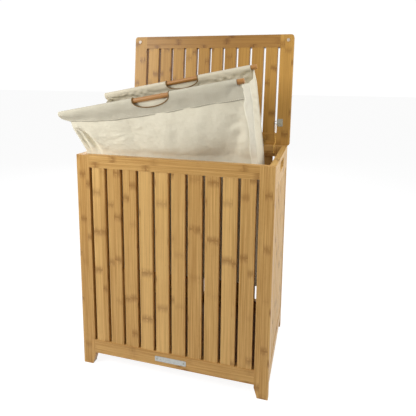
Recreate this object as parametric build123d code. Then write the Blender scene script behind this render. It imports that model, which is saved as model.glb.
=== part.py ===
"""Slatted bamboo laundry hamper with a hinged lid and a lift-out canvas liner.

Units are millimetres: X runs left to right, Y front to back and Z up.  The
origin is the middle of the rectangle that the four feet stand on.  The lid is
modelled standing open, with the liner lifted part of the way out of the body.
"""
from build123d import *
import os
from math import hypot, pi, radians, tan

os.makedirs("parts", exist_ok=True)

# ---------------------------------------------------------------- body frame
body_height = 584.0
body_depth = 325.0
leg_width = 35.5
frame_thickness = 18.0
side_thickness = 15.0
foot_height = 35.0
foot_straight = 8.0
foot_slant_inset = 7.0
foot_toe_inset = 1.0
foot_toe_height = 5.0
top_rail_height = 32.0
bottom_rail_height = 38.0
side_top_rail_height = 62.0
slat_count = 10
slat_width = 36.0
slat_gap = 7.0
slat_thickness = 12.0
slat_setback = 1.0
side_slat_count = 7
side_slat_gap = 8.0
side_slat_thickness = 10.0
edge_round = 1.5
cut_past = 1.0
hand_hole_length = 95.0
hand_hole_height = 26.0
hand_hole_drop = 14.0
floor_thickness = 5.0
floor_fit = 0.5
cleat_size = 10.0
cleat_lift = 2.0

# ----------------------------------------------------------------------- lid
lid_thickness = 20.0
lid_overhang = 5.0
lid_rear_overhang = 6.0
lid_end_width = 38.0
lid_slat_thickness = 19.0
lid_corner_radius = 9.0
lid_gap = 2.0
lid_open_angle = 96.0
bumper_radius = 5.0
bumper_inset = 17.0
bumper_clearance = 0.3

# -------------------------------------------------------------------- hinges
hinge_length = 50.0
hinge_inset = 93.0
leaf_width = 24.0
leaf_thickness = 1.5
knuckle_radius = 3.0
knuckle_clearance = 0.3
knuckle_gap = 0.4
pin_radius = 1.4
pin_fit = 0.05
leaf_screw_spread = 32.0
leaf_screw_setback = 13.0

# -------------------------------------------------------------------- screws
screw_radius = 1.5
screw_length = 11.0
screw_head_radius = 2.9
screw_head_height = 1.2
screw_fit = 0.05

# ------------------------------------------------------------------ lid stay
stay_inset = 38.0
stay_reach = 67.0
stay_plate_width = 16.0
stay_plate_length = 23.0
stay_plate_thickness = 1.2
stay_screw_edge = 4.5
stay_ring_radius = 4.5
stay_wire_radius = 0.9
eye_drop = 20.0
eye_reach = 6.0
chain_diameter = 2.2

# ---------------------------------------------------------------- name plate
plate_length = 85.0
plate_height = 14.0
plate_thickness = 1.0
plate_pin_radius = 1.1
plate_pin_length = 8.0
plate_pin_head_radius = 1.9
plate_pin_head_height = 0.7
plate_pin_inset = 6.0

# --------------------------------------------------------------------- liner
rod_radius = 6.0
rod_end_gap = 15.0
rod_drop = 44.0
front_rod_setback = 22.0
rear_rod_setback = 69.0
rest_reach = 23.0
rest_width = 28.0
rest_height = 32.0
rest_lip = 9.0
saddle_clearance = 2.6
hem_fit = 0.3
hem_overhang = 12.0
fabric_thickness = 2.0
bag_rest_clearance = 0.3
bag_front_clearance = 9.0
bag_rear_clearance = 20.0
bag_floor_clearance = 4.0
bag_shoulder_inset = 25.0
bag_shoulder_clearance = 3.0
handle_length = 95.0
handle_depth = 21.0
liner_lift = 220.6
lean_right_angle = 10.7
lean_back_angle = 11.5
liner_pivot_drop = 230.0

# ------------------------------------------------------------- worked-out sizes
slat_pitch = slat_width + slat_gap
body_width = 2 * leg_width + slat_count * slat_width + (slat_count + 1) * slat_gap
side_x = body_width / 2
front_y = -body_depth / 2
rear_y = body_depth / 2
front_inner_y = front_y + frame_thickness
rear_inner_y = rear_y - frame_thickness
side_inner_x = side_x - side_thickness
rail_length = body_width - 2 * leg_width
side_rail_length = body_depth - 2 * frame_thickness
bottom_rail_top = foot_height + bottom_rail_height
top_rail_bottom = body_height - top_rail_height
side_top_rail_bottom = body_height - side_top_rail_height
side_slat_width = (side_rail_length - (side_slat_count + 1) * side_slat_gap) / side_slat_count
side_slat_pitch = side_slat_width + side_slat_gap
hand_hole_z = body_height - hand_hole_drop - hand_hole_height / 2
cleat_top = foot_height + cleat_lift + cleat_size
floor_top = cleat_top + floor_thickness

pin_y = rear_y + knuckle_radius + knuckle_clearance
pin_z = body_height + lid_gap / 2
lid_under_z = body_height + lid_gap
lid_side_width = leg_width + lid_overhang
lid_front_y = front_y - lid_overhang
lid_rear_y = rear_y + lid_rear_overhang
lid_hinge = Axis((0, pin_y, pin_z), (1, 0, 0))
hinge_x = side_x - hinge_inset
hinge_xs = (-hinge_x, hinge_x)
screw_xs = (-leaf_screw_spread / 2, leaf_screw_spread / 2)

rod_seat_z = body_height - rod_drop
front_rod_y = front_inner_y + front_rod_setback
rear_rod_y = rear_inner_y - rear_rod_setback
rod_mid_y = (front_rod_y + rear_rod_y) / 2
rod_length = 2 * (side_inner_x - rod_end_gap)
liner_lean = hypot(lean_right_angle, lean_back_angle)
liner_pivot = Axis(
    (0, rod_mid_y, rod_seat_z - liner_pivot_drop),
    (lean_back_angle, -lean_right_angle, 0),
)
hem_radius = rod_radius + hem_fit + fabric_thickness


def save(shape, node):
    """Write one sub-part to its STEP file."""
    export_step(shape, f"parts/{node}.step")


def block(x0, x1, y0, y1, z0, z1):
    """Solid box between two corners."""
    box = Box(x1 - x0, y1 - y0, z1 - z0)
    return Pos((x0 + x1) / 2, (y0 + y1) / 2, (z0 + z1) / 2) * box


def eased(shape, axis, radius=edge_round):
    """Round the long edges that run along one axis."""
    return fillet(shape.edges().filter_by(axis), radius)


def rod_between(start, end, radius):
    """Round bar from one point to another."""
    path = Vector(*end) - Vector(*start)
    plane = Plane(origin=start, z_dir=path)
    return Solid.make_cylinder(radius, path.length, plane)


def opened(shape):
    """Turn a piece of the closed lid to where it stands open."""
    return shape.rotate(lid_hinge, -lid_open_angle)


def lifted(shape):
    """Move a piece of the seated liner frame to where it is held, lifted and leaning."""
    leaned = shape.rotate(liner_pivot, liner_lean)
    return Pos(0, 0, liner_lift) * leaned


def screw(x, y, z, up):
    """Countersunk screw: head flush at the given point, shank into the wood.

    The shank points down where up is 1 and up where up is -1.
    """
    head = Cone(screw_radius, screw_head_radius, screw_head_height)
    shank = Cylinder(screw_radius, screw_length)
    shape = Pos(0, 0, -screw_head_height / 2) * head
    shape += Pos(0, 0, -screw_head_height - screw_length / 2) * shank
    if up < 0:
        shape = Rot(180, 0, 0) * shape
    return Pos(x, y, z) * shape


def screw_hole(x, y, z, up):
    """Room for one screw, wider than it by the screw's clearance."""
    head = Cone(
        screw_radius + screw_fit,
        screw_head_radius + screw_fit,
        screw_head_height,
    )
    depth = screw_length + screw_fit
    shank = Cylinder(screw_radius + screw_fit, depth)
    shape = Pos(0, 0, -screw_head_height / 2) * head
    shape += Pos(0, 0, -screw_head_height - depth / 2) * shank
    if up < 0:
        shape = Rot(180, 0, 0) * shape
    return Pos(x, y, z) * shape


# ------------------------------------------------------------------------ legs
def leg():
    """Right front leg: a flat stile whose foot tapers on its inner edge."""
    inner = side_x - leg_width
    outline = [
        (side_x, 0),
        (side_x, body_height),
        (inner, body_height),
        (inner, foot_height - foot_straight),
        (inner + foot_slant_inset, foot_toe_height),
        (inner + foot_slant_inset + foot_toe_inset, 0),
    ]
    face = make_face(Polyline(*outline, close=True))
    shape = extrude(Plane.XZ * face, frame_thickness)
    shape = Pos(0, front_y + frame_thickness, 0) * shape
    outer = shape.edges().filter_by(Axis.Z).sort_by(Axis.X)[-2:]
    return fillet(outer, edge_round)


right_leg = leg()
left_leg = right_leg.mirror(Plane.YZ)
save(left_leg, "front_left_leg")
save(right_leg, "front_right_leg")
save(left_leg.mirror(Plane.XZ), "rear_left_leg")
save(right_leg.mirror(Plane.XZ), "rear_right_leg")


# ----------------------------------------------------------- front and rear frames
def cross_rail(y0, z0, z1):
    """Rail between a pair of legs, from z0 to z1."""
    return block(-rail_length / 2, rail_length / 2, y0, y0 + frame_thickness, z0, z1)


def plate_pin_holes(fit=0.0):
    """Shanks of the name plate's two pins, at their own size plus a clearance."""
    holes = []
    for side in (-1, 1):
        x = side * (plate_length / 2 - plate_pin_inset)
        start = (x, front_y - plate_thickness - fit, plate_z)
        end = (x, front_y - plate_thickness + plate_pin_length + fit, plate_z)
        holes.append(rod_between(start, end, plate_pin_radius + fit))
    return holes


plate_z = foot_height + bottom_rail_height / 2
front_bottom_rail = cross_rail(front_y, foot_height, bottom_rail_top)
for hole in plate_pin_holes(screw_fit):
    front_bottom_rail -= hole
save(cross_rail(front_y, top_rail_bottom, body_height), "front_top_rail")
save(front_bottom_rail, "front_bottom_rail")
save(cross_rail(rear_inner_y, foot_height, bottom_rail_top), "rear_bottom_rail")


def upright_slat(index, y0):
    """One slat of the front or rear frame, counted from the left."""
    x = (index - (slat_count - 1) / 2) * slat_pitch
    half = slat_width / 2
    shape = block(x - half, x + half, y0, y0 + slat_thickness, bottom_rail_top, top_rail_bottom)
    return eased(shape, Axis.Z)


for number in range(slat_count):
    save(upright_slat(number, front_y + slat_setback), f"front_slat_{number + 1:02d}")
rear_slat_y = rear_y - slat_setback - slat_thickness
rear_slats = [upright_slat(number, rear_slat_y) for number in range(slat_count)]
save(Compound(rear_slats), "rear_slats")


# ----------------------------------------------------------------------- sides
def side_rail(z0, z1):
    """Rail of the right side between its front and rear legs."""
    return block(side_inner_x, side_x, front_inner_y, rear_inner_y, z0, z1)


def hand_hole():
    """Rounded slot through the right side's top rail."""
    slot = SlotOverall(hand_hole_length, hand_hole_height)
    cutter = extrude(Plane.YZ * slot, side_thickness, both=True)
    return Pos(side_x - side_thickness / 2, 0, hand_hole_z) * cutter


def side_slats():
    """Slats of the right side, front to back."""
    slats = []
    x1 = side_x - slat_setback
    for number in range(side_slat_count):
        y = (number - (side_slat_count - 1) / 2) * side_slat_pitch
        half = side_slat_width / 2
        x0 = x1 - side_slat_thickness
        shape = block(x0, x1, y - half, y + half, bottom_rail_top, side_top_rail_bottom)
        slats.append(eased(shape, Axis.Z))
    return Compound(slats)


top_side_rail = side_rail(side_top_rail_bottom, body_height) - hand_hole()
hole_rim = [
    edge
    for edge in top_side_rail.edges()
    if abs(edge.center().Z - hand_hole_z) < hand_hole_height / 2 + cut_past
    and abs(edge.center().Y) < hand_hole_length / 2 + cut_past
]
top_side_rail = chamfer(hole_rim, edge_round)
right_side = {
    "top_rail": top_side_rail,
    "bottom_rail": side_rail(foot_height, bottom_rail_top),
    "side_slats": side_slats(),
}
for name, shape in right_side.items():
    save(shape, f"right_{name}")
    save(shape.mirror(Plane.YZ), f"left_{name}")

# ----------------------------------------------------------------------- floor
floor_x = side_inner_x - floor_fit
floor_y = rear_inner_y - floor_fit
save(block(-floor_x, floor_x, -floor_y, floor_y, cleat_top, floor_top), "floor_panel")
cleat_z0 = foot_height + cleat_lift
front_cleat = block(
    -rail_length / 2,
    rail_length / 2,
    front_inner_y,
    front_inner_y + cleat_size,
    cleat_z0,
    cleat_top,
)
save(Compound([front_cleat, front_cleat.mirror(Plane.XZ)]), "floor_cleats")


# ------------------------------------------------------------------------- lid
def lid_outline():
    """Whole closed lid as a plain board with rounded corners."""
    board = block(
        -side_x - lid_overhang,
        side_x + lid_overhang,
        lid_front_y,
        lid_rear_y,
        lid_under_z,
        lid_under_z + lid_thickness,
    )
    return fillet(board.edges().filter_by(Axis.Z), lid_corner_radius)


def lid_member(x0, x1, y0, y1):
    """Part of the lid's board over a rectangle seen from above."""
    return lid_outline() & block(x0, x1, y0, y1, lid_under_z, lid_under_z + lid_thickness)


lid_x0 = -side_x - lid_overhang
lid_x1 = side_x + lid_overhang
lid_side_inner = lid_x1 - lid_side_width
lid_front_inner = lid_front_y + lid_end_width
lid_rear_inner = lid_rear_y - lid_end_width
lid_rear_rail = lid_member(-lid_side_inner, lid_side_inner, lid_rear_inner, lid_rear_y)
lid_right_rail = lid_member(lid_side_inner, lid_x1, lid_front_y, lid_rear_y)


# ---------------------------------------------------------------------- hinges
leaf_edge_y = pin_y - leaf_width
leaf_screw_y = pin_y - leaf_screw_setback
knuckle_length = (hinge_length - 2 * knuckle_gap) / 3


def leaf_pocket(x, z0):
    """Shallow mortise that one leaf lies in, z0 its floor or its mouth."""
    half = hinge_length / 2 + screw_fit
    return block(x - half, x + half, leaf_edge_y - screw_fit, pin_y, z0, z0 + leaf_thickness)


def knuckle(x0, x1):
    """One barrel of a hinge on the pin's line."""
    barrel = rod_between((x0, pin_y, pin_z), (x1, pin_y, pin_z), knuckle_radius)
    return barrel


def knuckle_groove(x):
    """Groove in the lid's overhanging rear edge that the barrels of one hinge turn in."""
    half = hinge_length / 2 + knuckle_clearance
    start = (x - half, pin_y, pin_z)
    end = (x + half, pin_y, pin_z)
    return rod_between(start, end, knuckle_radius + knuckle_clearance)


def pin_bore(x):
    """Hole through a whole hinge for its pin."""
    half = hinge_length / 2 + cut_past
    return rod_between((x - half, pin_y, pin_z), (x + half, pin_y, pin_z), pin_radius + pin_fit)


def body_leaf(x):
    """Lower leaf with the two outer knuckles."""
    half = hinge_length / 2
    shape = block(x - half, x + half, leaf_edge_y, pin_y, body_height - leaf_thickness, body_height)
    inner = knuckle_length / 2 + knuckle_gap
    relief = knuckle_radius + knuckle_clearance
    shape -= rod_between((x - inner, pin_y, pin_z), (x + inner, pin_y, pin_z), relief)
    shape += knuckle(x - half, x - inner) + knuckle(x + inner, x + half)
    shape -= pin_bore(x)
    for dx in screw_xs:
        shape -= screw_hole(x + dx, leaf_screw_y, body_height, 1)
    return shape


def lid_leaf(x):
    """Upper leaf with the middle knuckle, on the closed lid."""
    half = hinge_length / 2
    inner = knuckle_length / 2
    relief = knuckle_radius + knuckle_clearance
    shape = block(x - half, x + half, leaf_edge_y, pin_y, lid_under_z, lid_under_z + leaf_thickness)
    for side in (-1, 1):
        start = (x + side * inner, pin_y, pin_z)
        end = (x + side * (half + cut_past), pin_y, pin_z)
        shape -= rod_between(start, end, relief)
    shape += knuckle(x - inner, x + inner)
    shape -= pin_bore(x)
    for dx in screw_xs:
        shape -= screw_hole(x + dx, leaf_screw_y, lid_under_z, -1)
    return shape


rear_top_rail = cross_rail(rear_inner_y, top_rail_bottom, body_height)
body_screws = []
lid_screws = []
pins = []
for x in hinge_xs:
    rear_top_rail -= leaf_pocket(x, body_height - leaf_thickness)
    lid_rear_rail -= leaf_pocket(x, lid_under_z)
    lid_rear_rail -= knuckle_groove(x)
    half = hinge_length / 2
    pins.append(rod_between((x - half, pin_y, pin_z), (x + half, pin_y, pin_z), pin_radius))
    for dx in screw_xs:
        rear_top_rail -= screw_hole(x + dx, leaf_screw_y, body_height, 1)
        lid_rear_rail -= screw_hole(x + dx, leaf_screw_y, lid_under_z, -1)
        body_screws.append(screw(x + dx, leaf_screw_y, body_height, 1))
        lid_screws.append(opened(screw(x + dx, leaf_screw_y, lid_under_z, -1)))
save(body_leaf(-hinge_x), "left_hinge_body_leaf")
save(body_leaf(hinge_x), "right_hinge_body_leaf")
save(opened(lid_leaf(-hinge_x)), "left_hinge_lid_leaf")
save(opened(lid_leaf(hinge_x)), "right_hinge_lid_leaf")
save(Compound(pins), "hinge_pins")
save(Compound(body_screws), "hinge_body_screws")

# -------------------------------------------------------------------- lid stay
stay_x = side_x - stay_inset + stay_plate_width / 2 + stay_ring_radius
stay_y = pin_y - stay_reach
stay_screw_y = stay_plate_length / 2 - stay_screw_edge
ring_x = stay_x - stay_plate_width / 2 - stay_ring_radius
stay_under_z = lid_under_z - stay_plate_thickness
stay_bracket = block(
    stay_x - stay_plate_width / 2,
    stay_x + stay_plate_width / 2,
    stay_y - stay_plate_length / 2,
    stay_y + stay_plate_length / 2,
    stay_under_z,
    lid_under_z,
)
stay_bracket = eased(stay_bracket, Axis.Z)
stay_ring = Torus(stay_ring_radius, stay_wire_radius)
ring_z = lid_under_z - stay_wire_radius - knuckle_clearance
stay_bracket += Pos(ring_x + stay_wire_radius, stay_y, ring_z) * stay_ring
for dy in (-stay_screw_y, stay_screw_y):
    hole = screw_hole(stay_x, stay_y + dy, stay_under_z, -1)
    stay_bracket -= hole
    lid_right_rail -= hole
    lid_screws.append(opened(screw(stay_x, stay_y + dy, stay_under_z, -1)))
save(opened(stay_bracket), "lid_stay_bracket")
save(Compound(lid_screws), "lid_screws")

eye_z = body_height - eye_drop
eye_y = rear_inner_y - eye_reach
eye_radius = stay_ring_radius - stay_wire_radius
eye_loop = Pos(ring_x, eye_y, eye_z) * (Rot(0, 90, 0) * Torus(eye_radius, stay_wire_radius))
eye_start = (ring_x, eye_y + eye_radius, eye_z)
eye_end = (ring_x, rear_inner_y + screw_length, eye_z)
eye_shank = rod_between(eye_start, eye_end, stay_wire_radius)
eye_hole_end = (ring_x, rear_inner_y + screw_length + screw_fit, eye_z)
rear_top_rail -= rod_between(eye_start, eye_hole_end, stay_wire_radius + screw_fit)
save(eye_loop + eye_shank, "stay_screw_eye")
save(rear_top_rail, "rear_top_rail")

# The chain hangs slack from the lid's ring, lies over the rear rail and ends in the eye.
chain_points = [
    (216.9, 171.3, 645.9),
    (215.6, 170.2, 636.2),
    (214.6, 169.1, 626.4),
    (214.3, 167.9, 616.6),
    (215.2, 166.5, 606.8),
    (216.8, 163.4, 597.6),
    (217.4, 157.0, 591.0),
    (216.4, 148.4, 588.6),
    (215.2, 140.4, 586.4),
    (215.6, 137.0, 578.0),
    (216.0, 138.4, 569.0),
]


def arc_radii(points):
    """Largest tangent radius at each inner point of a route of straight runs."""
    radii = []
    for before, here, after in zip(points, points[1:], points[2:]):
        arriving = Vector(*here) - Vector(*before)
        leaving = Vector(*after) - Vector(*here)
        turn = radians(arriving.get_angle(leaving))
        shorter = min(arriving.length, leaving.length)
        radii.append(0.45 * shorter / tan(turn / 2))
    return radii


chain_radii = arc_radii(chain_points)
print("chain radii:", [round(radius, 1) for radius in chain_radii])
chain_route = FilletPolyline(*chain_points, radius=chain_radii)
chain_start = Plane(origin=chain_route @ 0, z_dir=chain_route % 0)
chain = sweep(chain_start * Circle(chain_diameter / 2), path=chain_route)
chain_area = pi * chain_diameter**2 / 4
chain_ratio = chain.volume / (chain_area * chain_route.length)
print("chain length:", round(chain_route.length, 1), "volume ratio:", round(chain_ratio, 4))
save(chain, "stay_chain")

# ------------------------------------------------------------- rest of the lid
save(opened(lid_rear_rail), "lid_rear_rail")
save(opened(lid_member(-lid_side_inner, lid_side_inner, lid_front_y, lid_front_inner)), "lid_front_rail")
save(opened(lid_member(lid_x0, -lid_side_inner, lid_front_y, lid_rear_y)), "lid_left_rail")
save(opened(lid_right_rail), "lid_right_rail")
lid_slat_z1 = lid_under_z + lid_thickness
for number in range(slat_count):
    slat_x = (number - (slat_count - 1) / 2) * slat_pitch
    slat = block(
        slat_x - slat_width / 2,
        slat_x + slat_width / 2,
        lid_front_inner,
        lid_rear_inner,
        lid_slat_z1 - lid_slat_thickness,
        lid_slat_z1,
    )
    save(opened(eased(slat, Axis.Y)), f"lid_slat_{number + 1:02d}")
bumper_height = lid_gap - bumper_clearance
bumpers = []
for side in (-1, 1):
    bumper = Cylinder(bumper_radius, bumper_height)
    bumper_x = side * (lid_x1 - bumper_inset)
    bumper_y = lid_front_y + bumper_inset
    bumpers.append(opened(Pos(bumper_x, bumper_y, lid_under_z - bumper_height / 2) * bumper))
save(Compound(bumpers), "lid_bumpers")

# ------------------------------------------------------------------ name plate
plate = block(
    -plate_length / 2,
    plate_length / 2,
    front_y - plate_thickness,
    front_y,
    plate_z - plate_height / 2,
    plate_z + plate_height / 2,
)
plate = eased(plate, Axis.Y)
for hole in plate_pin_holes(screw_fit):
    plate -= hole
save(plate, "name_plate")
plate_pins = []
for shank in plate_pin_holes():
    pin_x = shank.center().X
    head_start = (pin_x, front_y - plate_thickness - plate_pin_head_height, plate_z)
    head_end = (pin_x, front_y - plate_thickness, plate_z)
    plate_pins.append(shank + rod_between(head_start, head_end, plate_pin_head_radius))
save(Compound(plate_pins), "name_plate_pins")


# ----------------------------------------------------------------------- liner
def rod_rest(y):
    """Wooden block with an open saddle, on the right side's inner face under one rod end."""
    shape = block(
        side_inner_x - rest_reach,
        side_inner_x,
        y - rest_width / 2,
        y + rest_width / 2,
        rod_seat_z + rest_lip - rest_height,
        rod_seat_z + rest_lip,
    )
    shape = eased(shape, Axis.X)
    saddle = rod_radius + saddle_clearance
    inner_x = side_inner_x - rest_reach - cut_past
    outer_x = side_inner_x + cut_past
    saddle_top = rod_seat_z + rest_lip + cut_past
    return shape - block(inner_x, outer_x, y - saddle, y + saddle, rod_seat_z - saddle, saddle_top)


rests = []
for y in (front_rod_y, rear_rod_y):
    right_rest = rod_rest(y)
    rests.append(right_rest)
    rests.append(right_rest.mirror(Plane.YZ))
save(Compound(rests), "rod_rests")


def liner_rod(y, length, radius):
    """Round bar along X at the seated height, lifted to where the liner is held."""
    return lifted(rod_between((-length / 2, y, rod_seat_z), (length / 2, y, rod_seat_z), radius))


save(liner_rod(front_rod_y, rod_length, rod_radius), "front_rod")
save(liner_rod(rear_rod_y, rod_length, rod_radius), "rear_rod")

bag_x = side_inner_x - rest_reach - bag_rest_clearance
bag_front_y = front_inner_y + bag_front_clearance
bag_rear_y = rear_inner_y - bag_rear_clearance
bag_bottom_z = floor_top + bag_floor_clearance + liner_lift
bag_shoulder_z = rod_seat_z + rest_lip + bag_shoulder_clearance
bag_top_half = rod_length / 2 - bag_shoulder_inset


def level_ring(inset, z):
    """Rectangle of the bag at one height, drawn in by an inset."""
    x = bag_x - inset
    y0 = bag_front_y + inset
    y1 = bag_rear_y - inset
    return Polyline((-x, y0, z), (x, y0, z), (x, y1, z), (-x, y1, z), close=True)


def mouth_ring(inset, rise):
    """Rectangle through both rods' lines, drawn in by an inset and raised from them."""
    x = bag_top_half - inset
    y0 = front_rod_y + inset
    y1 = rear_rod_y - inset
    z = rod_seat_z + rise
    return lifted(Polyline((-x, y0, z), (x, y0, z), (x, y1, z), (-x, y1, z), close=True))


def ring_loft(rings):
    """Solid with flat or ruled walls through a stack of rings."""
    return Solid.make_loft([Wire(ring.edges()) for ring in rings], ruled=True)


wall = fabric_thickness
brim_rise = -rod_radius / 2
bag = ring_loft(
    [
        level_ring(0, bag_bottom_z),
        level_ring(0, bag_shoulder_z),
        mouth_ring(-wall / 2, brim_rise),
    ]
)
hollow = ring_loft(
    [
        level_ring(wall, bag_bottom_z + wall),
        level_ring(wall, bag_shoulder_z),
        mouth_ring(wall / 2, brim_rise),
        mouth_ring(wall / 2, hem_radius),
    ]
)
bag -= hollow
for y in (front_rod_y, rear_rod_y):
    bag += liner_rod(y, rod_length + 2 * hem_overhang, hem_radius)
for y in (front_rod_y, rear_rod_y):
    bag -= liner_rod(y, rod_length + 4 * hem_overhang, rod_radius + hem_fit)
    notch = block(
        -handle_length / 2,
        handle_length / 2,
        y - 2 * hem_radius,
        y + 2 * hem_radius,
        rod_seat_z - handle_depth,
        rod_seat_z + 2 * hem_radius,
    )
    lower_corners = notch.edges().filter_by(Axis.Y).sort_by(Axis.Z)[:2]
    bag -= lifted(fillet(lower_corners, 0.45 * handle_depth))
save(bag, "liner_bag")
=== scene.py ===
"""Looks of a slatted bamboo laundry hamper with a hinged lid and a lift-out canvas liner.

Lengths are metres in the hamper's own frame: X left to right, Y front to back, Z up.
"""
import logging
import math
from dataclasses import dataclass, field
from enum import Enum
from functools import partialmethod
from typing import Sequence

import bmesh
import bpy
import numpy as np
from mathutils import Matrix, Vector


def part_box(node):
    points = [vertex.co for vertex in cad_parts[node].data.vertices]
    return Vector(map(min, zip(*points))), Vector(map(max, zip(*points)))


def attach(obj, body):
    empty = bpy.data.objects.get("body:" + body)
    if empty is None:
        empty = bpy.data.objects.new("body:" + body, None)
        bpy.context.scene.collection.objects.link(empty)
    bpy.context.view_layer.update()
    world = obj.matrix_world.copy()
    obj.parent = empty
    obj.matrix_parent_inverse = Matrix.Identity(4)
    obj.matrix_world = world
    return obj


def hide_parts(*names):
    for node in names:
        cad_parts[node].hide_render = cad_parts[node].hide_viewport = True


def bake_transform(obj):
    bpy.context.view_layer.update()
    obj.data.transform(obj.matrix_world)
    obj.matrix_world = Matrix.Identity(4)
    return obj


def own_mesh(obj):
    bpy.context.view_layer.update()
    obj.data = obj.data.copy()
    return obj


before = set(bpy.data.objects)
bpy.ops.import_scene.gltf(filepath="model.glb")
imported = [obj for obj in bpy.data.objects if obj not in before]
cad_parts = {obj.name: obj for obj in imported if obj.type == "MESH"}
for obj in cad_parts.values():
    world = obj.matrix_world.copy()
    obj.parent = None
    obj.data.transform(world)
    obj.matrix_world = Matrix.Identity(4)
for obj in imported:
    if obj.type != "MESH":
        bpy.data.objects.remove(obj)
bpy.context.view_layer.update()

LOG = logging.getLogger("hamper")
LID_OPEN_ANGLE = math.radians(96.0)
HINGE_LINE = np.array([0.0, 0.1658, 0.585])
LAYER_THICKNESS = 0.0062
Array, Piece, Material = np.ndarray, bpy.types.Object, bpy.types.Material
Node, NodeTree, NodeSocket = bpy.types.Node, bpy.types.NodeTree, bpy.types.NodeSocket
Triple = tuple[float, float, float]


# ---------------- mesh helpers
def new_object(name: str, data: bpy.types.ID) -> Piece:
    """Put finished data in the scene as an object at the origin.

    Args:
        name: The object's name.
        data: Its mesh, curve, camera or lamp.

    Returns:
        The new object.
    """
    piece = bpy.data.objects.new(name, data)
    bpy.context.scene.collection.objects.link(piece)
    return piece


def stand(piece: Piece, axes: Sequence[Array], place: Sequence[float]) -> None:
    """Place a camera or a lamp and turn its right, upward and backward directions along three axes."""
    turn = np.vstack([np.column_stack([*axes, place]), [0, 0, 0, 1]])
    piece.matrix_world = Matrix(turn.tolist())


def new_piece(
    name: str, points: Array, faces: Array, finish: Material,
    uv: Array | None = None, cloth: float = 0.0, outwards: bool = False,
) -> Piece:
    """Make a smooth mesh from whole arrays of points and four-sided faces.

    Args:
        name: The piece's name.
        points: Array (..., 3) of places.
        faces: Array (m, 4) of point numbers.
        finish: Its material.
        uv: Array (..., 2) of cloth coordinates in metres.
        cloth: Thickness that a sheet gets, half to each side.
        outwards: Whether to turn every face outwards.

    Returns:
        The new object.
    """
    places = np.asarray(points, np.float32).reshape(-1, 3)
    mesh = bpy.data.meshes.new(name)
    mesh.vertices.add(len(places))
    mesh.vertices.foreach_set("co", places.ravel())
    mesh.loops.add(faces.size)
    mesh.loops.foreach_set("vertex_index", faces.ravel().astype(np.int32))
    mesh.polygons.add(len(faces))
    mesh.polygons.foreach_set("loop_start", np.arange(0, faces.size, 4, dtype=np.int32))
    mesh.polygons.foreach_set("use_smooth", np.ones(len(faces), bool))
    if uv is not None:
        layer = mesh.uv_layers.new(name="cloth")
        layer.data.foreach_set("uv", np.asarray(uv, np.float32).reshape(-1, 2)[faces.ravel()].ravel())
    mesh.update()
    mesh.validate()
    if outwards:
        work = bmesh.new()
        work.from_mesh(mesh)
        bmesh.ops.recalc_face_normals(work, faces=work.faces)
        work.to_mesh(mesh)
        work.free()
    piece = new_object(name, mesh)
    if cloth:
        wall = piece.modifiers.new("thickness", "SOLIDIFY")
        wall.thickness, wall.offset = cloth, 0
    mesh.materials.append(finish)
    LOG.info("%s: %d points", name, len(places))
    return piece


def mesh_points(mesh: bpy.types.Mesh) -> Array:
    """Read a mesh's points.

    Args:
        mesh: The mesh.

    Returns:
        Array (n, 3).
    """
    points = np.zeros(len(mesh.vertices) * 3)
    mesh.vertices.foreach_get("co", points)
    return points.reshape(-1, 3)


def grid_faces(rows: int, columns: int, close_rows: bool = False, close_columns: bool = False) -> Array:
    """Number the four-sided faces of a grid whose points are stored row by row.

    Args:
        rows: Number of rows of points.
        columns: Number of points in a row.
        close_rows: Whether the last row joins the first.
        close_columns: Whether the last column joins the first.

    Returns:
        Array (m, 4) of point numbers.
    """
    i = np.arange(rows if close_rows else rows - 1)[:, None]
    j = np.arange(columns if close_columns else columns - 1)[None, :]
    down = (i + 1) % rows
    right = (j + 1) % columns
    quads = [i * columns + j, i * columns + right, down * columns + right, down * columns + j]
    return np.stack([np.broadcast_to(q, (i.size, j.size)) for q in quads], -1).reshape(-1, 4)


def unit(vectors: Array) -> Array:
    """Scale vectors to length one along the last axis."""
    return vectors / np.maximum(np.linalg.norm(vectors, axis=-1, keepdims=True), 1e-12)


def smooth_step(value: Array) -> Array:
    """Ease from 0 to 1: three squares less two cubes of the value held between 0 and 1."""
    held = np.clip(value, 0, 1)
    return held * held * (3 - 2 * held)


def hill(value: Array, centre: float | Array, width: float) -> Array:
    """A bell of height one: e to the minus square of the distance over the width."""
    return np.exp(-(((value - centre) / width) ** 2))


def between(first: Sequence[float], second: Sequence[float], share: Array) -> Array:
    """Points on the straight line from one place to another at shares of its length."""
    share = np.asarray(share, float)[..., None]
    return (1 - share) * np.asarray(first, float) + share * np.asarray(second, float)


def tube_points(path: Array, radius: float, sides: int, side_hint: Array) -> Array:
    """Carry a circle along a path.

    Each ring is centre + radius * (cos a * side + sin a * up), where side is the hint made square to
    the path and up is square to both.

    Args:
        path: Array (n, 3) of centres.
        radius: Radius of the circle.
        sides: Points in each ring.
        side_hint: A direction that the path never runs along.

    Returns:
        Array (n, sides, 3).
    """
    along = unit(np.gradient(path, axis=0))
    side = unit(side_hint - (along @ side_hint)[:, None] * along)
    up = np.cross(along, side)
    angle = np.linspace(0, 2 * math.pi, sides, endpoint=False)[None, :, None]
    return path[:, None] + radius * (np.cos(angle) * side[:, None] + np.sin(angle) * up[:, None])


# ---------------- node helpers
def linear(colour: Triple) -> tuple[float, float, float, float]:
    """Turn a colour of 0 to 255 into the linear colour that the shader takes."""
    shares = [value / 255 for value in colour]
    return (*(s / 12.92 if s <= 0.04045 else ((s + 0.055) / 1.055) ** 2.4 for s in shares), 1.0)


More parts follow.
